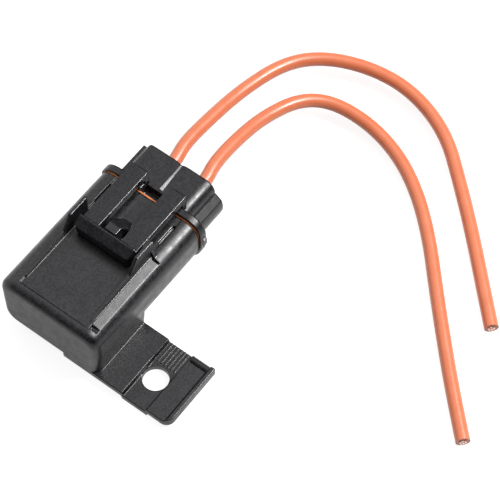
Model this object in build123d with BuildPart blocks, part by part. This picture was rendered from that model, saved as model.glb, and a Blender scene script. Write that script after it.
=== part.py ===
from build123d import *
from math import pi, radians, tan
import os

os.makedirs("parts", exist_ok=True)

# In-line holder for one plug-in blade fuse, in millimetres.
# The origin is the centre of the ear's hole, on the face that meets the panel.
# X runs across the cover, Y from the cover's closed end to the wires, Z out of the panel.
# Sizes called _x, _y and _z are measured from the cover's middle line, its closed end and the panel.

# Mounting ear
hole_x = 27.3
hole_y = 9.0
hole_radius = 3.55
ear_thickness = 1.8
ear_depth = 19.5
ear_root_x = 4.0
root_foot_x = 15.0
ear_end_x = 38.5
channel_width = 8.0
channel_drop = 1.2
channel_slope = 0.4
ear_corner = 2.5
lip_height = 0.9
lip_width = 1.1
lip_slope = 0.55
bead_radius = 1.0
rib_count = 6
rib_height = 0.3
rib_gap = 0.6
rib_margin = 1.2

# Cover
cover_width = 32.0
cover_height = 19.3
cover_length = 42.0
cover_gap = 1.2
wall = 1.8
back_radius_left = 4.5
back_radius_right = 11.0
front_radius = 4.5
end_radius = 2.3
panel_recess = 0.3
panel_start = 2.9

# Guard rails, and the sloped strip with its notch on the cover's front
rail_x = 10.8
rail_thickness = 0.9
rail_start = 5.0
rail_knee = 20.3
rail_peak = 23.4
rail_end = 29.8
rail_low = 1.8
rail_high = 6.0
buttress_reach = 1.5
buttress_rise = 3.6
buttress_length = 1.0
strip_x = 11.7
strip_sink = 0.03
strip_fall = 1.3
strip_start = 4.4
strip_end = 28.2
strip_gap = 0.4
notch_width = 2.2
notch_length = 1.2
notch_depth = 0.9
slot_x = 10.5
slot_width = 1.0
slot_depth = 1.1
slot_start = 32.8
slot_end = 39.4

# Latch loop and the wedge that it locks behind
arm_inner = 3.6
arm_outer = 8.85
arm_thickness = 2.4
arm_lift = 1.3
bar_front = 22.4
bar_depth = 3.1
bar_face_depth = 2.5
bar_face_rise = 1.8
bar_corner = 1.2
bar_lift = 1.0
hinge_y = 45.6
bead = 0.8
bead_clearance = 0.08
bead_side_gap = 0.2
leg_overlap = 0.1
lock_gap = 0.7
wedge_height = 4.4
wedge_flat = 2.4
wedge_shoulder = 3.85
wedge_length = 7.1
wedge_width = 3.6
wedge_wide = 5.5
wedge_tip = 2.2

# Body
ring_proud = 0.6
ring_thickness = 2.0
ring_nub = 0.5
nub_height = 2.4
nub_inset = 0.3
block_front = 19.8
block_half = 11.0
block_corner_right = 3.3
block_corner_left = 1.5
block_round = 0.6
lobe_half = 13.6
lobe_top = 14.3
lobe_back = 3.4
lobe_shoulder = 0.5
lobe_foot = 1.6
lobe_drop = 4.6
lobe_base = 4.8
waist_depth = 1.6
fin_x = 12.2
fin_thickness = 1.1
fin_top = 17.2
fin_setback = 0.4
slit_width = 1.2
slit_tail = 0.5
slit_fall = 0.46
slit_start = 1.6
pocket_depth = 2.4
pocket_reach = 0.8
pocket_inset = 0.15
end_dip = 0.6
dip_width = 7.0
tower_clearance = 0.5
tower_start = 16.8
least_corner = 0.4
join = 0.5

# Seals
seal_sleeve = 5.0
seal_thickness = 1.0
seal_squeeze = 0.1
seal_lip = 0.45
seal_lip_gap = 0.05
seal_root = 0.15
lip_inset = 0.25
wire_seal_radius = 3.7
wire_seal_length = 7.5
wire_seal_recess = 1.2
wire_seal_gap = 4.3
groove_count = 3
groove_depth = 0.5
groove_share = 0.15
groove_step = 0.3
groove_first = 0.14

# Wires, terminals and fuse
axis_z = 11.8
wire_x = 5.15
wire_radius = 1.95
copper_radius = 1.17
copper_clearance = 0.02
sheet = 0.4
blade_x = 6.0
blade_width = 5.2
blade_thickness = 0.65
blade_clearance = 0.09
blade_slot_gap = 0.05
socket_start = 17.3
socket_end = 29.0
socket_width = 6.4
socket_height = 1.5
socket_roll = 0.6
socket_bend = 0.45
neck_half = 2.4
chamber_clearance = 0.2
chamber_reach = 1.2
bore_reach = 1.5
crimp_start = 32.4
crimp_end = 37.5
crimp_slit = 0.3
strap_half = 0.9
strap_step = 0.6
strap_bend = 0.3
copper_start = 33.3
collar_start = 39.6
collar_end = 43.0
collar_slit = 0.5
lead_start = 40.3
straight_run = 10.0
bend_share = 0.45
fuse_width = 19.1
fuse_thickness = 5.1
fuse_slim = 3.9
fuse_head = 4.2
fuse_start = 4.6
fuse_seat_gap = 0.3
fuse_corner = 0.9
fuse_round = 0.6
fuse_window_y = 4.6
fuse_window_width = 3.0
fuse_window_length = 3.2
blade_length = 6.8
blade_hold = 7.4
link_width = 1.3

# Derived places
cover_back = cover_gap
cover_front = cover_gap + cover_height
ring_start = cover_length + seal_lip
ring_end = ring_start + ring_thickness
wire_seal_start = collar_end + wire_seal_gap
wire_seal_end = wire_seal_start + wire_seal_length
body_end = wire_seal_end + wire_seal_recess
arm_bottom = max(cover_front, block_front) + arm_lift
arm_top = arm_bottom + arm_thickness
hinge_z = block_front + bead_clearance + bead / 2
bar_back = bar_front + bar_depth
wedge_y = bar_back + lock_gap
ear_low = channel_drop
ear_high = channel_drop + ear_thickness
fuse_end = tower_start - fuse_seat_gap
blade_root = fuse_end - blade_hold
blade_end = fuse_end + blade_length
arm_width = arm_outer - arm_inner
rearward = (0, 1, 0)


def level(z):
    return Plane(origin=(-hole_x, -hole_y, z), x_dir=(1, 0, 0), z_dir=(0, 0, 1))


def station(y):
    return Plane(origin=(-hole_x, y - hole_y, 0), x_dir=(1, 0, 0), z_dir=(0, -1, 0))


def upright(x):
    return Plane(origin=(x - hole_x, -hole_y, 0), x_dir=(0, 1, 0), z_dir=(1, 0, 0))


# The cover's outline across the holder, moved outwards by margin
def outline(y, margin):
    with BuildSketch(station(y)) as ring:
        with Locations((0, (cover_front + cover_back) / 2)):
            Rectangle(cover_width + 2 * margin, cover_height + 2 * margin)
        fillet(ring.vertices().group_by(Axis.Y)[0].sort_by(Axis.X)[0], back_radius_left + margin)
        fillet(ring.vertices().group_by(Axis.Y)[0].sort_by(Axis.X)[-1], back_radius_right + margin)
        fillet(ring.vertices().group_by(Axis.Y)[-1], max(front_radius + margin, least_corner))
    return ring.sketch


# Wedge: a plan like an arrow head, cut by the slope that lifts the latch
with BuildPart() as wedge:
    with BuildSketch(level(cover_front - panel_recess)):
        with BuildLine():
            Polyline(
                (-wedge_width / 2, wedge_y),
                (wedge_width / 2, wedge_y),
                (wedge_width / 2, wedge_y + wedge_flat),
                (wedge_wide / 2, wedge_y + wedge_shoulder),
                (wedge_tip / 2, wedge_y + wedge_length),
                (-wedge_tip / 2, wedge_y + wedge_length),
                (-wedge_wide / 2, wedge_y + wedge_shoulder),
                (-wedge_width / 2, wedge_y + wedge_flat),
                close=True,
            )
        make_face()
    extrude(amount=wedge_height + panel_recess)
    with BuildSketch(upright(-wedge_wide)):
        with BuildLine():
            Polyline(
                (wedge_y, cover_front - panel_recess),
                (wedge_y, cover_front + wedge_height),
                (wedge_y + wedge_flat, cover_front + wedge_height),
                (wedge_y + wedge_length, cover_front),
                (wedge_y + wedge_length, cover_front - panel_recess),
                close=True,
            )
        make_face()
    extrude(amount=2 * wedge_wide, mode=Mode.INTERSECT)

# Ear: a strip with a dropped channel round the hole and a lip at its end
channel_left = hole_x - channel_width / 2
channel_right = hole_x + channel_width / 2
rib_pitch = channel_width / (rib_count - 1 + 2 * rib_margin)
with BuildPart() as ear:
    with BuildSketch(station(0)):
        with BuildLine():
            Polyline(
                (ear_root_x, ear_low),
                (channel_left - channel_slope, ear_low),
                (channel_left, 0),
                (channel_right, 0),
                (channel_right + channel_slope, ear_low),
                (ear_end_x, ear_low),
                (ear_end_x, ear_high + lip_height),
                (ear_end_x - lip_width, ear_high + lip_height),
                (ear_end_x - lip_width - lip_slope, ear_high),
                (channel_right, ear_high),
                (channel_right - channel_slope, ear_thickness),
                (channel_left + channel_slope, ear_thickness),
                (channel_left, ear_high),
                (ear_root_x, ear_high),
                close=True,
            )
        make_face()
    extrude(amount=ear_depth, dir=rearward)
    corner = ear.edges().filter_by(Axis.Z).sort_by(Axis.X)[-2:].sort_by(Axis.Y)[0]
    fillet(corner, ear_corner)
    with BuildSketch(upright(channel_right + channel_slope)):
        with Locations((ear_depth - bead_radius, ear_high - bead_radius / 3)):
            Circle(bead_radius)
    extrude(amount=ear_end_x - channel_right - channel_slope)
    for rib in range(rib_count):
        rib_x = channel_left + (rib + rib_margin) * rib_pitch
        with BuildSketch(station(hole_y + hole_radius + rib_gap)):
            with Locations((rib_x, ear_thickness)):
                RegularPolygon(rib_height, 4, rotation=45)
        extrude(amount=ear_depth - hole_y - hole_radius - rib_gap, dir=rearward)
    with BuildSketch(level(0)):
        with Locations((hole_x, hole_y)):
            Circle(hole_radius)
    extrude(amount=ear_high + lip_height, mode=Mode.SUBTRACT)

# Ear's root: fills the space under the cover's rounder corner, with a slight draft
with BuildPart() as root:
    with BuildSketch(station(0)):
        with BuildLine():
            Polyline(
                (ear_root_x, ear_low),
                (root_foot_x, ear_low),
                (cover_width / 2, cover_back + back_radius_right),
                (ear_root_x, cover_back + back_radius_right),
                close=True,
            )
        make_face()
    extrude(amount=ear_depth, dir=rearward)
    fillet(root.faces().sort_by(Axis.Y)[0].edges().sort_by(Axis.X)[-1], end_radius)

# Cover: closed at one end, with rails, strip, wedge, ear and the ear's root in one moulding
with BuildPart() as cover:
    extrude(outline(0, 0), amount=cover_length, dir=rearward)
    fillet(cover.faces().sort_by(Axis.Y)[0].edges(), end_radius)
    add(root.part)
    with BuildSketch(level(cover_front)):
        with Locations((0, (panel_start + cover_length) / 2)):
            Rectangle(2 * rail_x, cover_length - panel_start)
    extrude(amount=-panel_recess, mode=Mode.SUBTRACT)
    for side in (-1, 1):
        with BuildSketch(upright(side * rail_x - rail_thickness / 2)):
            with BuildLine():
                Polyline(
                    (rail_start, cover_front - panel_recess),
                    (rail_start, cover_front),
                    (rail_knee, cover_front + rail_low),
                    (rail_peak, cover_front + rail_high),
                    (rail_end, cover_front + rail_high),
                    (rail_end, cover_front - panel_recess),
                    close=True,
                )
            make_face()
        extrude(amount=rail_thickness)
        with BuildSketch(station(rail_end - buttress_length)):
            with BuildLine():
                Polyline(
                    (side * rail_x, cover_front - panel_recess),
                    (side * (rail_x + buttress_reach), cover_front - panel_recess),
                    (side * rail_x, cover_front + buttress_rise),
                    close=True,
                )
            make_face()
        extrude(amount=buttress_length, dir=rearward)
        with BuildSketch(level(cover_front)):
            with Locations((side * slot_x, (slot_start + slot_end) / 2)):
                SlotOverall(slot_end - slot_start, slot_width, rotation=90)
        extrude(amount=-slot_depth, mode=Mode.SUBTRACT)
    with BuildSketch(station(strip_start)):
        with BuildLine():
            Polyline(
                (strip_x, cover_front + strip_fall),
                (strip_x, cover_front - strip_sink),
                (cover_width / 2, cover_front - strip_sink - strip_fall),
                (cover_width / 2, cover_front + strip_fall),
                close=True,
            )
        make_face()
    extrude(amount=strip_end - strip_start, dir=rearward, mode=Mode.SUBTRACT)
    with BuildSketch(level(cover_front)):
        with Locations((strip_x + notch_width / 2, strip_start - notch_length / 2)):
            Rectangle(notch_width, notch_length)
        with Locations((strip_x + notch_width / 2, strip_end + strip_gap / 2)):
            Rectangle(notch_width, strip_gap)
    extrude(amount=-notch_depth, mode=Mode.SUBTRACT)
    add(wedge.part)
    add(ear.part)
    extrude(outline(wall, -wall), amount=cover_length - wall, dir=rearward, mode=Mode.SUBTRACT)
cover.part.label = "cover"

# Latch: two arms from round roots to a thumb bar with a sloped front
with BuildPart() as latch:
    with BuildSketch(upright(-arm_outer)):
        with BuildLine():
            Polyline(
                (bar_front, cover_front + bar_lift),
                (bar_front, arm_top),
                (bar_front + bar_face_depth, arm_top + bar_face_rise),
                (bar_back, arm_top + bar_face_rise),
                (bar_back, cover_front + bar_lift),
                close=True,
            )
        make_face()
    extrude(amount=2 * arm_outer)
    with BuildSketch(level(cover_front)):
        with Locations((0, bar_back)):
            RectangleRounded(2 * arm_outer, 2 * bar_depth, bar_corner)
    extrude(amount=arm_top + bar_face_rise - cover_front, mode=Mode.INTERSECT)
    for side in (-1, 1):
        arm_middle = side * (arm_inner + arm_outer) / 2
        with BuildSketch(level(arm_bottom)):
            with Locations((arm_middle, (bar_back - join + hinge_y + bead) / 2)):
                Rectangle(arm_width, hinge_y + bead - bar_back + join)
        extrude(amount=arm_thickness)
        with BuildSketch(upright(arm_middle - arm_width / 2)):
            with Locations((hinge_y, (hinge_z + arm_bottom) / 2)):
                Rectangle(2 * bead, arm_bottom - hinge_z + 2 * leg_overlap)
            with Locations((hinge_y, hinge_z)):
                Circle(bead)
        extrude(amount=arm_width)
latch.part.label = "latch_lever"


# Half of the rear block's outline, from the front's middle to the back's middle
def half_outline(side, corner):
    with BuildLine() as half:
        front = Line((0, block_front), (side * (block_half - corner), block_front))
        shoulder = TangentArc(front @ 1, (side * block_half, block_front - corner), tangent=(side, 0))
        waist = Polyline(
            shoulder @ 1,
            (side * block_half, lobe_top + waist_depth),
            (side * (lobe_half - lobe_shoulder), lobe_top),
        )
        lobe = ThreePointArc(
            waist @ 1,
            (side * lobe_half, axis_z),
            (side * (lobe_half - lobe_foot), axis_z - lobe_drop),
        )
        Polyline(lobe @ 1, (side * (lobe_half - lobe_base), lobe_back), (0, lobe_back))
    return half.line


# Body: ring, rear block, and the tower that stands inside the cover
with BuildPart() as body:
    extrude(outline(tower_start, -wall - tower_clearance), amount=ring_start - tower_start, dir=rearward)
    extrude(
        outline(cover_length - seal_sleeve, 0),
        amount=seal_sleeve + seal_lip,
        dir=rearward,
        mode=Mode.SUBTRACT,
    )
    extrude(
        outline(cover_length - seal_sleeve, -wall - seal_squeeze - seal_thickness),
        amount=seal_sleeve + seal_lip,
        dir=rearward,
    )
    extrude(outline(ring_start, ring_proud), amount=ring_thickness, dir=rearward)
    with BuildSketch(station(ring_end - join)):
        with BuildLine():
            add(half_outline(1, block_corner_right))
            add(half_outline(-1, block_corner_left))
        make_face()
    extrude(amount=body_end - ring_end + join, dir=rearward)
    fillet(body.faces().sort_by(Axis.Y)[-1].edges(), block_round)
    with BuildSketch(level(axis_z)):
        with Locations((-fin_x, (ring_end - join + body_end - fin_setback) / 2)):
            Rectangle(fin_thickness, body_end - fin_setback - ring_end + join)
    extrude(amount=fin_top - axis_z)
    for side in (-1, 1):
        with BuildSketch(upright(side * (arm_inner + arm_outer) / 2)):
            with Locations((hinge_y, hinge_z)):
                Circle(bead + bead_clearance)
        extrude(amount=arm_width / 2 + bead_side_gap, both=True, mode=Mode.SUBTRACT)
    with BuildSketch(level(block_front - pocket_depth)):
        with Locations((0, (ring_start + ring_end + pocket_reach) / 2)):
            Rectangle(2 * (arm_inner - pocket_inset), ring_thickness + pocket_reach)
    extrude(amount=arm_bottom - block_front + pocket_depth, mode=Mode.SUBTRACT)
    for slit_y, width in ((ring_end + slit_start, slit_width), (body_end + slit_tail, slit_tail)):
        with BuildSketch(station(slit_y)):
            with BuildLine():
                Polyline(
                    (-width, block_front + slit_fall * width),
                    (width, block_front + slit_fall * width),
                    (width, block_front - slit_fall * width),
                    close=True,
                )
            make_face()
    loft(mode=Mode.SUBTRACT)
    with BuildSketch(level(0)):
        with BuildLine():
            Polyline(
                (-dip_width / 2, body_end + slit_tail),
                (dip_width / 2, body_end + slit_tail),
                (0, body_end - end_dip),
                close=True,
            )
        make_face()
    extrude(amount=cover_front, mode=Mode.SUBTRACT)
    with BuildSketch(station(ring_start + nub_inset)):
        with Locations((cover_width / 2 + ring_proud, cover_front - front_radius - nub_height)):
            Rectangle(2 * ring_nub, nub_height)
    extrude(amount=ring_thickness - 2 * nub_inset, dir=rearward)
    for side in (-1, 1):
        with BuildSketch(station(tower_start)):
            with Locations((side * blade_x, axis_z + (socket_height - blade_thickness) / 2)):
                Rectangle(
                    socket_width + 2 * chamber_clearance,
                    socket_height + blade_thickness + 2 * sheet + 2 * chamber_clearance,
                )
        extrude(amount=crimp_start + chamber_reach - tower_start, dir=rearward, mode=Mode.SUBTRACT)
        with BuildSketch(station(crimp_start - bore_reach)):
            with Locations((side * wire_x, axis_z)):
                Circle(wire_radius + sheet + chamber_clearance)
        extrude(amount=body_end - crimp_start, dir=rearward, mode=Mode.SUBTRACT)
        with BuildSketch(station(wire_seal_start)):
            with Locations((side * wire_x, axis_z)):
                Circle(wire_seal_radius)
        extrude(amount=body_end - wire_seal_start, dir=rearward, mode=Mode.SUBTRACT)
body.part.label = "holder_body"

# Cover seal: a sleeve on the tower's root with a lip between the ring and the cover's rim
with BuildPart() as seal:
    extrude(
        outline(cover_length - seal_sleeve, -wall - seal_squeeze),
        amount=seal_sleeve,
        dir=rearward,
    )
    extrude(outline(cover_length + seal_lip_gap, -lip_inset), amount=seal_lip - seal_lip_gap, dir=rearward)
    extrude(outline(cover_length, -wall - seal_squeeze), amount=seal_root, dir=rearward)
    extrude(
        outline(cover_length - seal_sleeve, -wall - seal_squeeze - seal_thickness),
        amount=seal_sleeve + seal_lip,
        dir=rearward,
        mode=Mode.SUBTRACT,
    )
seal.part.label = "cover_seal"

# Fuse: a plastic grip round one stamping of two blades and their link
with BuildPart() as fuse:
    with BuildSketch(station(fuse_start)):
        with Locations((0, axis_z)):
            RectangleRounded(fuse_width, fuse_thickness, fuse_corner)
    extrude(amount=fuse_head, dir=rearward)
    fillet(fuse.faces().sort_by(Axis.Y)[0].edges(), fuse_round)
    with BuildSketch(station(fuse_start + fuse_head)):
        with Locations((0, axis_z)):
            RectangleRounded(fuse_width - fuse_round, fuse_slim, fuse_round)
    extrude(amount=fuse_end - fuse_start - fuse_head, dir=rearward)
    with BuildSketch(level(axis_z)):
        with Locations((0, fuse_start + fuse_head + fuse_window_y)):
            Rectangle(fuse_window_width, fuse_window_length)
    extrude(amount=fuse_slim, both=True, mode=Mode.SUBTRACT)
    with BuildSketch(station(blade_root)):
        with Locations((0, axis_z)):
            Rectangle(2 * (blade_x + blade_slot_gap) + blade_width, blade_thickness + 2 * blade_slot_gap)
    extrude(amount=blade_hold, dir=rearward, mode=Mode.SUBTRACT)
fuse.part.label = "fuse_housing"

link_start = blade_root + blade_slot_gap
with BuildPart() as element:
    with BuildSketch(level(axis_z - blade_thickness / 2)):
        for side in (-1, 1):
            with Locations((side * blade_x, (link_start + blade_end) / 2)):
                Rectangle(blade_width, blade_end - link_start)
        with Locations((0, link_start + link_width / 2)):
            Rectangle(2 * blade_x, link_width)
        with Locations((0, link_start + link_width)):
            Circle(link_width / 3, mode=Mode.SUBTRACT)
    extrude(amount=blade_thickness)
    tips = element.faces().sort_by(Axis.Y)[-2:].edges().filter_by(Axis.X)
    chamfer(tips, blade_thickness / 4)
element.part.label = "fuse_element"


# Terminal: a rolled socket, a neck, and two crimp barrels, folded from one sheet
floor_z = axis_z - blade_thickness / 2 - blade_clearance - sheet / 2
roll_z = axis_z + blade_thickness / 2 + blade_clearance
with BuildPart() as terminal:
    with BuildSketch(station(socket_start)):
        with BuildLine():
            FilletPolyline(
                (blade_x - socket_roll, roll_z),
                (blade_x - socket_roll, axis_z + socket_height),
                (blade_x - (socket_width - sheet) / 2, axis_z + socket_height),
                (blade_x - (socket_width - sheet) / 2, floor_z),
                (blade_x + (socket_width - sheet) / 2, floor_z),
                (blade_x + (socket_width - sheet) / 2, axis_z + socket_height),
                (blade_x + socket_roll, axis_z + socket_height),
                (blade_x + socket_roll, roll_z),
                radius=socket_bend,
            )
        trace(line_width=sheet)
    extrude(amount=socket_end - socket_start, dir=rearward)
    with BuildSketch(level(floor_z - sheet / 2)):
        with BuildLine():
            Polyline(
                (blade_x - neck_half, socket_end - join),
                (blade_x + neck_half, socket_end - join),
                (wire_x + copper_radius + sheet, crimp_start + strap_step),
                (wire_x - copper_radius - sheet, crimp_start + strap_step),
                close=True,
            )
        make_face()
    extrude(amount=sheet)
    with BuildSketch(station(crimp_start)):
        with Locations((wire_x, axis_z)):
            Circle(copper_radius + copper_clearance + sheet)
            Circle(copper_radius + copper_clearance, mode=Mode.SUBTRACT)
        with Locations((wire_x, axis_z + copper_radius + sheet)):
            Rectangle(crimp_slit, 2 * sheet, mode=Mode.SUBTRACT)
    extrude(amount=crimp_end - crimp_start, dir=rearward)
    with BuildSketch(upright(wire_x)):
        with BuildLine():
            FilletPolyline(
                (crimp_end - strap_step, axis_z - copper_radius - copper_clearance - sheet / 2),
                (crimp_end + strap_step, axis_z - copper_radius - copper_clearance - sheet / 2),
                (collar_start - join, axis_z - wire_radius - copper_clearance - sheet / 2),
                (collar_start + strap_step, axis_z - wire_radius - copper_clearance - sheet / 2),
                radius=strap_bend,
            )
        trace(line_width=sheet)
    extrude(amount=strap_half, both=True)
    with BuildSketch(station(collar_start)):
        with Locations((wire_x, axis_z)):
            Circle(wire_radius + copper_clearance + sheet)
            Circle(wire_radius + copper_clearance, mode=Mode.SUBTRACT)
        with Locations((wire_x, axis_z + wire_radius + sheet)):
            Rectangle(collar_slit, 3 * sheet, mode=Mode.SUBTRACT)
    extrude(amount=collar_end - collar_start, dir=rearward)
terminal.part.label = "terminal_right"

with BuildPart() as terminal_left:
    mirror(terminal.part, about=upright(0))
terminal_left.part.label = "terminal_left"

# Wire seals: ribbed sleeves in the body's rear bores
with BuildPart() as wire_seal:
    with BuildSketch(station(wire_seal_start)):
        with Locations((wire_x, axis_z)):
            Circle(wire_seal_radius)
            Circle(wire_radius + copper_clearance, mode=Mode.SUBTRACT)
    extrude(amount=wire_seal_length, dir=rearward)
    for groove in range(groove_count):
        groove_y = wire_seal_start + (groove_first + groove_step * groove) * wire_seal_length
        with BuildSketch(station(groove_y)):
            with Locations((wire_x, axis_z)):
                Circle(wire_seal_radius)
                Circle(wire_seal_radius - groove_depth, mode=Mode.SUBTRACT)
        extrude(amount=groove_share * wire_seal_length, dir=rearward, mode=Mode.SUBTRACT)
wire_seal.part.label = "wire_seal_right"

with BuildPart() as wire_seal_left:
    mirror(wire_seal.part, about=upright(0))
wire_seal_left.part.label = "wire_seal_left"

# Wires: routes measured from the cover's middle line, closed end and panel
floor_level = wire_radius
left_route = [
    (-wire_x, lead_start, axis_z),
    (-wire_x, lead_start + straight_run, axis_z),
    (-5.17, 60.5, axis_z),
    (-7.7, 75.2, 8.9),
    (-8.2, 89.4, 4.6),
    (-5.1, 104.1, 2.3),
    (3.8, 115.3, floor_level),
    (16.0, 120.6, floor_level),
    (31.4, 121.3, floor_level),
    (45.5, 115.1, floor_level),
    (56.6, 105.0, floor_level),
    (67.3, 94.5, floor_level),
    (77.8, 83.7, floor_level),
    (88.1, 73.0, floor_level),
]
right_route = [
    (wire_x, lead_start, axis_z),
    (wire_x, lead_start + straight_run, axis_z),
    (5.13, 60.5, axis_z),
    (2.3, 75.0, 8.9),
    (3.0, 88.0, 5.0),
    (6.4, 98.9, 2.8),
    (15.2, 106.3, floor_level),
    (27.1, 107.0, floor_level),
    (38.4, 103.0, floor_level),
    (49.4, 95.1, floor_level),
    (60.3, 85.0, floor_level),
    (70.1, 73.9, floor_level),
    (79.9, 62.9, floor_level),
    (90.0, 52.0, floor_level),
    (100.3, 41.6, floor_level),
]


# Largest arc that the two runs beside each corner allow
def corner_radii(points):
    runs = [Vector(*b) - Vector(*a) for a, b in zip(points, points[1:])]
    radii = []
    for before, after in zip(runs, runs[1:]):
        half_turn = radians(before.get_angle(after) / 2)
        radii.append(bend_share * min(before.length, after.length) / tan(half_turn))
    return radii


def placed(points):
    return [(x - hole_x, y - hole_y, z) for x, y, z in points]


def path_along(points):
    with BuildLine() as path:
        FilletPolyline(*placed(points), radius=corner_radii(points))
    return path.wire()


def wire(points, start, name):
    radii = corner_radii(points)
    path = path_along(points)
    section = station(start)
    with BuildPart() as lead:
        with BuildSketch(section):
            with Locations((points[0][0], axis_z)):
                Circle(wire_radius)
                Circle(copper_radius + copper_clearance, mode=Mode.SUBTRACT)
        sweep(path=path)
    lead.part.label = "lead_" + name
    expected = pi * (wire_radius**2 - (copper_radius + copper_clearance) ** 2) * path.length
    print(name, "radii", [round(r) for r in radii], "length", round(path.length, 1))
    print(name, "volume", round(lead.part.volume, 1), "expected", round(expected, 1))
    return lead.part


def copper(points, name):
    inner = [(points[0][0], copper_start, axis_z)] + points[1:]
    path = path_along(inner)
    with BuildPart() as strand:
        with BuildSketch(station(copper_start)):
            with Locations((points[0][0], axis_z)):
                Circle(copper_radius)
        sweep(path=path)
    strand.part.label = "conductor_" + name
    return strand.part


pieces = [
    cover.part,
    latch.part,
    body.part,
    seal.part,
    fuse.part,
    element.part,
    terminal.part,
    terminal_left.part,
    wire_seal.part,
    wire_seal_left.part,
    wire(left_route, lead_start, "left"),
    wire(right_route, lead_start, "right"),
    copper(left_route, "left"),
    copper(right_route, "right"),
]
for piece in pieces:
    export_step(piece, f"parts/{piece.label}.step")
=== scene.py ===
from math import cos, pi, radians, sin

import bmesh
import bpy
from mathutils import Matrix, Vector


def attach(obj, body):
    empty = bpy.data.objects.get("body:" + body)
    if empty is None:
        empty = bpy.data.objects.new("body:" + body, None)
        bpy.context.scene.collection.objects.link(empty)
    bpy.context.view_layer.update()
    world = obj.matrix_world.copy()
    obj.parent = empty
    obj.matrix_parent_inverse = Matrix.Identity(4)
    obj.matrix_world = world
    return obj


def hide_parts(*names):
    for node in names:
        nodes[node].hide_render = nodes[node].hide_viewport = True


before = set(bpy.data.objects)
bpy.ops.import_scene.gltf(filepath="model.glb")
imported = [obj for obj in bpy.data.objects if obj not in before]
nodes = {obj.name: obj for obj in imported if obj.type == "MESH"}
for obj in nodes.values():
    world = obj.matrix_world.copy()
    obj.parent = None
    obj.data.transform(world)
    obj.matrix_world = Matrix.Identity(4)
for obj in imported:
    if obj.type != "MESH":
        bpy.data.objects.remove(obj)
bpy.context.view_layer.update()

mm = 0.001

# The hole's axis in the ear is the origin; the cover's middle line and closed end lie off it
coverAt = {"x": -27.3 * mm, "y": -9.0 * mm}


def place(x, y, z):
    return Vector((x * mm + coverAt["x"], y * mm + coverAt["y"], z * mm))


def addObject(name, data):
    made = bpy.data.objects.new(name, data)
    bpy.context.scene.collection.objects.link(made)
    return made


def turnTo(piece, toward):
    piece.rotation_mode = "QUATERNION"
    piece.rotation_quaternion = (-toward).to_track_quat("-Z", "Y")


# Angles in degrees, lengths in millimetres, clipping in metres
cameraView = {
    "azimuth": 37.0, "elevation": 60.0, "distance": 533.3, "target": (23.5, 54.25, 1.2),
    "lens": 144.0, "sensor": 36.0, "clipStart": 0.01, "clipEnd": 20.0,
}


def addCamera():
    turn, rise = radians(cameraView["azimuth"]), radians(cameraView["elevation"])
    back = Vector((sin(turn) * cos(rise), -cos(turn) * cos(rise), sin(rise)))
    camera = addObject("camera", bpy.data.cameras.new("camera"))
    camera.data.lens = cameraView["lens"]
    camera.data.sensor_width = cameraView["sensor"]
    camera.data.clip_start, camera.data.clip_end = cameraView["clipStart"], cameraView["clipEnd"]
    camera.location = place(*cameraView["target"]) + back * cameraView["distance"] * mm
    turnTo(camera, back)
    bpy.context.scene.camera = camera


addCamera()
print("camera placed")


def newMaterial(name, baseColour, roughness):
    made = bpy.data.materials.new(name)
    made.use_nodes = True
    shader = made.node_tree.nodes["Principled BSDF"]
    shader.inputs["Base Color"].default_value = (*baseColour, 1.0)
    shader.inputs["Roughness"].default_value = roughness
    return made, made.node_tree, shader


def addNode(tree, kind, **values):
    node = tree.nodes.new(kind)
    for key, value in values.items():
        setattr(node, key, value)
    return node


# A socket takes either another node's output or a fixed value
def feed(tree, socket, value):
    if isinstance(value, bpy.types.NodeSocket):
        tree.links.new(value, socket)
    else:
        socket.default_value = value


def calculate(tree, operation, *values):
    node = addNode(tree, "ShaderNodeMath", operation=operation)
    for socket, value in zip(node.inputs, values):
        feed(tree, socket, value)
    return node.outputs["Value"]


def mapRange(tree, value, fromMin, fromMax, toMin, toMax, shape="LINEAR"):
    node = addNode(tree, "ShaderNodeMapRange", interpolation_type=shape)
    feed(tree, node.inputs["Value"], value)
    feed(tree, node.inputs["From Min"], fromMin)
    feed(tree, node.inputs["From Max"], fromMax)
    feed(tree, node.inputs["To Min"], toMin)
    feed(tree, node.inputs["To Max"], toMax)
    return node.outputs["Result"]


grainShape = {
    "detail": 3.0, "crispFrom": 0.38, "crispTo": 0.62,
    "mottleDetail": 4.0, "mottleRoughness": 0.6, "mottleFrom": 0.35, "mottleTo": 0.65,
}


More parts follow.
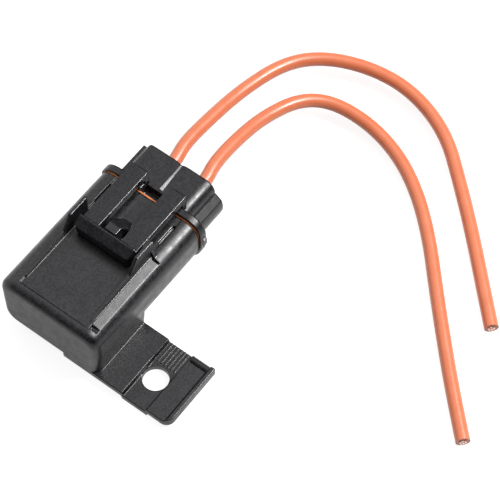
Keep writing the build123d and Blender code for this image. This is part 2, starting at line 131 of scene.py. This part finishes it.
# Fine moulded grain over soft mottling: a height for bump, the mottling, and a tone that mixes the two
def makeGrainGroup():
    group = bpy.data.node_groups.new("mouldedGrain", "ShaderNodeTree")
    for label in ("Grain Scale", "Mottle Scale", "Fine Share"):
        group.interface.new_socket(name=label, in_out="INPUT", socket_type="NodeSocketFloat")
    for label in ("Height", "Mottle", "Tone"):
        group.interface.new_socket(name=label, in_out="OUTPUT", socket_type="NodeSocketFloat")
    given, made = addNode(group, "NodeGroupInput"), addNode(group, "NodeGroupOutput")
    coord = addNode(group, "ShaderNodeTexCoord")
    grain = addNode(group, "ShaderNodeTexNoise")
    grain.inputs["Detail"].default_value = grainShape["detail"]
    mottle = addNode(group, "ShaderNodeTexNoise")
    mottle.inputs["Detail"].default_value = grainShape["mottleDetail"]
    mottle.inputs["Roughness"].default_value = grainShape["mottleRoughness"]
    for texture, label in ((grain, "Grain Scale"), (mottle, "Mottle Scale")):
        feed(group, texture.inputs["Vector"], coord.outputs["Object"])
        feed(group, texture.inputs["Scale"], given.outputs[label])
    crisp = mapRange(group, grain.outputs["Fac"], grainShape["crispFrom"], grainShape["crispTo"], 0.0, 1.0)
    tone = addNode(group, "ShaderNodeMix", data_type="FLOAT")
    feed(group, tone.inputs["Factor"], given.outputs["Fine Share"])
    feed(group, tone.inputs["A"], mottle.outputs["Fac"])
    feed(group, tone.inputs["B"], crisp)
    feed(group, made.inputs["Height"], grain.outputs["Fac"])
    feed(group, made.inputs["Mottle"], mottle.outputs["Fac"])
    feed(group, made.inputs["Tone"], tone.outputs["Result"])
    return group


grainGroup = makeGrainGroup()

# Edge and rib sizes are in millimetres; depth is the grain's, in metres
plainLook = {"metallic": 0.0, "specular": 0.5, "fineShare": 0.0}
blackPlastic = {
    "grainScale": 1700.0, "mottleScale": 420.0, "fineShare": 0.85, "bump": 0.18, "depth": 0.00006,
    "roughLow": 0.3, "roughHigh": 0.42, "dark": (0.001, 0.001, 0.0015), "light": (0.019, 0.019, 0.023),
    "edge": 0.5, "edgeRough": 0.2,
}
# The ear's fine ribs, within ribsReach of ribsAt, keep sharper edges
coverPlastic = {
    **blackPlastic, "ribsAt": (0.0, 7.3, 1.8), "ribsReach": 5.2, "ribsFade": 1.0, "ribsEdge": 0.14,
}
bodyPlastic = {**blackPlastic, "specular": 0.44}
latchPlastic = {**blackPlastic, "specular": 0.4}
silicone = {
    "grainScale": 3000.0, "mottleScale": 500.0, "bump": 0.1, "depth": 0.00005,
    "roughLow": 0.42, "roughHigh": 0.55, "dark": (0.8, 0.2, 0.04), "light": (0.92, 0.3, 0.08),
}
insulation = {
    "grainScale": 1500.0, "mottleScale": 260.0, "bump": 0.05, "depth": 0.00004,
    "roughLow": 0.28, "roughHigh": 0.36, "dark": (0.69, 0.17, 0.074), "light": (0.8, 0.23, 0.108),
}
# The core is copper darkened into painted shade: it fills the dark gaps between the bare strands at each
# cut end
shadedCopperCore = {
    "metallic": 1.0, "grainScale": 5000.0, "mottleScale": 900.0, "bump": 0.1, "depth": 0.00003,
    "roughLow": 0.3, "roughHigh": 0.45, "dark": (0.2, 0.04, 0.02), "light": (0.4, 0.12, 0.07),
}
brightStrands = {
    "metallic": 1.0, "grainScale": 5000.0, "mottleScale": 900.0, "bump": 0.1, "depth": 0.00003,
    "roughLow": 0.2, "roughHigh": 0.34, "dark": (0.7, 0.42, 0.35), "light": (0.95, 0.76, 0.7),
}
tinnedBrass = {
    "metallic": 1.0, "grainScale": 4000.0, "mottleScale": 600.0, "bump": 0.08, "depth": 0.00003,
    "roughLow": 0.25, "roughHigh": 0.4, "dark": (0.55, 0.54, 0.52), "light": (0.72, 0.71, 0.69),
}
fusePlastic = {
    "grainScale": 2600.0, "mottleScale": 400.0, "bump": 0.05, "depth": 0.00004,
    "roughLow": 0.14, "roughHigh": 0.22, "dark": (0.05, 0.36, 0.12), "light": (0.08, 0.46, 0.17),
}
# An edge is polished from flatDot to turnedDot, the rounded normal's cosine with the true one
edgeShape = {"samples": 16, "flatDot": 0.998, "turnedDot": 0.97}


def roundedNormal(tree, values):
    radius = values["edge"] * mm
    if "ribsAt" in values:
        coord = addNode(tree, "ShaderNodeTexCoord")
        away = addNode(tree, "ShaderNodeVectorMath", operation="DISTANCE")
        feed(tree, away.inputs[0], coord.outputs["Object"])
        feed(tree, away.inputs[1], Vector(values["ribsAt"]) * mm)
        reach = values["ribsReach"]
        radius = mapRange(
            tree, away.outputs["Value"], reach * mm, (reach + values["ribsFade"]) * mm,
            values["ribsEdge"] * mm, radius,
        )
    rounded = addNode(tree, "ShaderNodeBevel", samples=edgeShape["samples"])
    feed(tree, rounded.inputs["Radius"], radius)
    return rounded.outputs["Normal"]


def polishEdges(tree, normal, roughness, edgeRough):
    surface = addNode(tree, "ShaderNodeNewGeometry")
    along = addNode(tree, "ShaderNodeVectorMath", operation="DOT_PRODUCT")
    feed(tree, along.inputs[0], normal)
    feed(tree, along.inputs[1], surface.outputs["True Normal"])
    return mapRange(
        tree, along.outputs["Value"], edgeShape["flatDot"], edgeShape["turnedDot"], roughness, edgeRough
    )


def finish(name, look):
    values = {**plainLook, **look}
    made, tree, shader = newMaterial(name, values["dark"], values["roughLow"])
    shader.inputs["Metallic"].default_value = values["metallic"]
    shader.inputs["Specular IOR Level"].default_value = values["specular"]
    grain = addNode(tree, "ShaderNodeGroup", node_tree=grainGroup)
    grain.inputs["Grain Scale"].default_value = values["grainScale"]
    grain.inputs["Mottle Scale"].default_value = values["mottleScale"]
    grain.inputs["Fine Share"].default_value = values["fineShare"]
    bump = addNode(tree, "ShaderNodeBump")
    bump.inputs["Strength"].default_value = values["bump"]
    bump.inputs["Distance"].default_value = values["depth"]
    roughness = mapRange(
        tree, grain.outputs["Mottle"], grainShape["mottleFrom"], grainShape["mottleTo"],
        values["roughLow"], values["roughHigh"],
    )
    if "edge" in values:
        normal = roundedNormal(tree, values)
        roughness = polishEdges(tree, normal, roughness, values["edgeRough"])
        feed(tree, bump.inputs["Normal"], normal)
    colour = addNode(tree, "ShaderNodeMix", data_type="RGBA")
    colour.inputs["A"].default_value = (*values["dark"], 1.0)
    colour.inputs["B"].default_value = (*values["light"], 1.0)
    feed(tree, colour.inputs["Factor"], grain.outputs["Tone"])
    feed(tree, bump.inputs["Height"], grain.outputs["Height"])
    feed(tree, shader.inputs["Base Color"], colour.outputs["Result"])
    feed(tree, shader.inputs["Roughness"], roughness)
    feed(tree, shader.inputs["Normal"], bump.outputs["Normal"])
    return made


looks = {
    "cover": finish("blackCover", coverPlastic),
    "body": finish("blackBody", bodyPlastic),
    "latch": finish("blackLatch", latchPlastic),
    "silicone": finish("orangeSilicone", silicone),
    "insulation": finish("orangeInsulation", insulation),
    "copper": finish("shadedCopperCore", shadedCopperCore),
    "strands": finish("brightStrands", brightStrands),
    "tin": finish("tinnedBrass", tinnedBrass),
    "fuse": finish("fusePlastic", fusePlastic),
}
print("materials made")


def paint(piece, look):
    piece.data.materials.clear()
    piece.data.materials.append(looks[look])


nodeLooks = {
    "cover": "cover", "latch_lever": "latch", "holder_body": "body",
    "cover_seal": "silicone", "wire_seal_left": "silicone", "wire_seal_right": "silicone",
    "terminal_left": "tin", "terminal_right": "tin", "fuse_element": "tin", "fuse_housing": "fuse",
}
for nodeName, look in nodeLooks.items():
    paint(nodes[nodeName], look)
print("nodes painted")

# Sizes in millimetres, the declared length in metres; exit is where the wires leave the body
wireSize = {
    "radius": 1.95, "core": 1.17, "coreProud": 0.06, "axis": 11.8, "exit": 56.0, "spacing": 5.15,
    "length": 0.182, "order": 3, "stepsAlong": 16, "stepsRound": 8,
}
floorLevel = wireSize["radius"]
# The solids' route points from the cover's closed end, moved a little to lie as pictured
routes = {
    "left": [
        (-5.15, 40.3, 11.8), (-5.15, 50.3, 11.8), (-5.25, 59.2, 11.9), (-6.65, 65.0, 12.0),
        (-6.9, 75.2, 10.5), (-6.6, 89.4, 8.2), (-3.4, 104.9, 6.8), (3.8, 114.1, 5.8),
        (16.4, 119.8, 5.0), (30.2, 120.7, 4.2), (44.8, 115.4, 3.2), (57.0, 104.5, 2.4),
        (67.8, 94.1, floorLevel), (77.8, 83.7, floorLevel), (88.1, 73.0, floorLevel),
    ],
    "right": [
        (5.15, 40.3, 11.8), (5.15, 50.3, 11.8), (5.05, 59.2, 11.9), (3.6, 65.0, 12.0),
        (3.1, 75.2, 10.4), (3.6, 87.0, 8.0), (7.3, 98.5, 6.2), (14.7, 104.2, 4.8),
        (26.8, 104.9, 3.8), (38.6, 101.7, 3.0), (49.3, 95.2, 2.4), (59.9, 85.5, floorLevel),
        (70.0, 73.9, floorLevel), (79.9, 62.9, floorLevel), (90.0, 52.0, floorLevel),
        (100.29, 41.61, floorLevel),
    ],
}


def addWireCurve(name, points, radius):
    curve = bpy.data.curves.new(name, "CURVE")
    curve.dimensions = "3D"
    spline = curve.splines.new("NURBS")
    spline.points.add(len(points) - 1)
    for point, spot in zip(spline.points, points):
        point.co = (*spot, 1.0)
    spline.order_u = wireSize["order"]
    spline.use_endpoint_u = True
    spline.resolution_u = wireSize["stepsAlong"]
    curve.bevel_depth = radius * mm
    curve.bevel_resolution = wireSize["stepsRound"]
    curve.use_fill_caps = True
    return addObject(name, curve)


# Bare strands at a cut end, in millimetres; a ring is its count, its radius and its first angle in radians
strands = {
    "rings": ((1, 0.0, 0.0), (6, 0.76, 0.76)), "radius": 0.27, "taper": 0.86, "sides": 10, "sunk": 0.6,
    "proud": 0.45, "leastShare": 0.55, "lengthStep": 5.3,
    "lean": 7.0, "leanStep": 3.1,  # degrees, and the turn of its sine from strand to strand
}


def addStrands(name, end, along):
    work = bmesh.new()
    number = 0
    for count, ring, first in strands["rings"]:
        for step in range(count):
            number += 1
            angle = 2 * pi * step / count + first
            spread = (1 - strands["leastShare"]) * sin(strands["lengthStep"] * number) ** 2
            length = strands["proud"] * (strands["leastShare"] + spread) + strands["sunk"]
            spot = Vector((ring * cos(angle), ring * sin(angle), length / 2 - strands["sunk"]))
            lean = Matrix.Rotation(radians(strands["lean"] * sin(strands["leanStep"] * number)), 4, "X")
            bmesh.ops.create_cone(
                work, cap_ends=True, segments=strands["sides"], radius1=strands["radius"],
                radius2=strands["radius"] * strands["taper"], depth=length,
                matrix=Matrix.Translation(spot) @ lean,
            )
    turn = along.to_track_quat("Z", "Y").to_matrix().to_4x4()
    bmesh.ops.scale(work, vec=(mm, mm, mm), verts=work.verts)
    bmesh.ops.transform(work, matrix=Matrix.Translation(end) @ turn, verts=work.verts)
    for face in work.faces:
        face.smooth = len(face.verts) == 4
    mesh = bpy.data.meshes.new(name)
    work.to_mesh(mesh)
    work.free()
    return addObject(name, mesh)


def addWires():
    for side, route in routes.items():
        points = [place(*spot) for spot in route]
        along = (points[-1] - points[-2]).normalized()
        coreEnd = points[-1] + along * wireSize["coreProud"] * mm
        lead = addWireCurve("insulation_" + side, points, wireSize["radius"])
        core = addWireCurve("core_" + side, [*points[:-1], coreEnd], wireSize["core"])
        ends = addStrands("strands_" + side, points[-1], along)
        paint(lead, "insulation")
        paint(core, "copper")
        paint(ends, "strands")
        for piece in (lead, core, ends):
            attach(piece, "holder")
        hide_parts("lead_" + side)
        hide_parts("conductor_" + side)


addWires()
print("wires laid")

white = (1.0, 1.0, 1.0, 1.0)
# Sizes in metres; a glow of 1 is white
floorValues = {
    "size": 0.42, "middle": (0.02, 0.05), "drop": 0.00002, "colour": 0.35, "roughness": 0.9,
    "cameraGlow": 0.86, "frontGlow": 0.62, "rearGlow": 1.0,
}
# The From and To values are components of the unit vector towards the sky
skyValues = {
    "horizon": 0.04, "overhead": 0.97, "darkTo": 0.5, "lightFrom": 0.84,
    "leftGlow": 0.9, "leftFrom": -0.35, "leftTo": -0.7,
    "frontShade": 0.25, "frontFrom": -0.5, "frontTo": 0.2,
}
# Lamps: metres and watts, towards the lamp from the camera's target
keyLight = {"toward": (0.496, 0.399, 0.77), "distance": 0.7, "size": 0.1, "power": 4.6}
softBox = {"toward": (0.283, 0.4, 0.872), "distance": 0.7, "size": 0.3, "power": 3.5}


def splitCoordinate(tree, output):
    coord = addNode(tree, "ShaderNodeTexCoord")
    parts = addNode(tree, "ShaderNodeSeparateXYZ")
    feed(tree, parts.inputs["Vector"], coord.outputs[output])
    return parts.outputs


# The rays that show the white ground behind the object
def backgroundRays(tree, path):
    return calculate(tree, "MAXIMUM", path.outputs["Is Camera Ray"], path.outputs["Is Transmission Ray"])


def addFloor():
    work = bmesh.new()
    bmesh.ops.create_grid(work, x_segments=1, y_segments=1, size=floorValues["size"])
    bmesh.ops.translate(work, vec=(*floorValues["middle"], -floorValues["drop"]), verts=work.verts)
    mesh = bpy.data.meshes.new("floor")
    work.to_mesh(mesh)
    work.free()
    floor = addObject("floor", mesh)
    made, tree, shader = newMaterial("paleFloor", (floorValues["colour"],) * 3, floorValues["roughness"])
    shader.inputs["Specular IOR Level"].default_value = 0.0
    shader.inputs["Emission Color"].default_value = white
    path = addNode(tree, "ShaderNodeLightPath")
    cameraGlow = calculate(tree, "MULTIPLY", backgroundRays(tree, path), floorValues["cameraGlow"])
    # In reflections the floor is brighter from the cover's closed end rearwards
    glossGlow = mapRange(
        tree, splitCoordinate(tree, "Object")["Y"], coverAt["y"], -coverAt["y"],
        floorValues["frontGlow"], floorValues["rearGlow"], "SMOOTHSTEP",
    )
    glow = calculate(tree, "MULTIPLY_ADD", path.outputs["Is Glossy Ray"], glossGlow, cameraGlow)
    feed(tree, shader.inputs["Emission Strength"], glow)
    floor.data.materials.append(made)


# A plain studio sky: dark at the horizon and in front, light above and on the left, white behind the object
def addWorld():
    world = bpy.data.worlds.new("plainWorld")
    bpy.context.scene.world = world
    world.use_nodes = True
    tree = world.node_tree
    background = tree.nodes["Background"]
    background.inputs["Color"].default_value = white
    toward = splitCoordinate(tree, "Generated")
    above = mapRange(
        tree, toward["Z"], skyValues["darkTo"], skyValues["lightFrom"],
        skyValues["horizon"], skyValues["overhead"], "SMOOTHSTEP",
    )
    left = mapRange(
        tree, toward["X"], skyValues["leftFrom"], skyValues["leftTo"],
        0.0, skyValues["leftGlow"], "SMOOTHSTEP",
    )
    front = mapRange(
        tree, toward["Y"], skyValues["frontFrom"], skyValues["frontTo"],
        skyValues["frontShade"], 1.0, "SMOOTHSTEP",
    )
    studio = calculate(tree, "ADD", calculate(tree, "MULTIPLY", above, front), left)
    path = addNode(tree, "ShaderNodeLightPath")
    strength = mapRange(tree, backgroundRays(tree, path), 0.0, 1.0, studio, 1.0)
    feed(tree, background.inputs["Strength"], strength)


def addLamp(name, values):
    light = bpy.data.lights.new(name, "AREA")
    light.shape = "SQUARE"
    light.size = values["size"]
    light.energy = values["power"]
    lamp = addObject(name, light)
    toward = Vector(values["toward"]).normalized()
    lamp.location = place(*cameraView["target"]) + toward * values["distance"]
    turnTo(lamp, toward)
    return lamp


addFloor()
addWorld()
addLamp("softKey", keyLight)
addLamp("softBox", softBox).visible_diffuse = False  # it only shows as a reflection
bpy.context.scene.view_settings.view_transform = "Standard"
print("floor and light set")
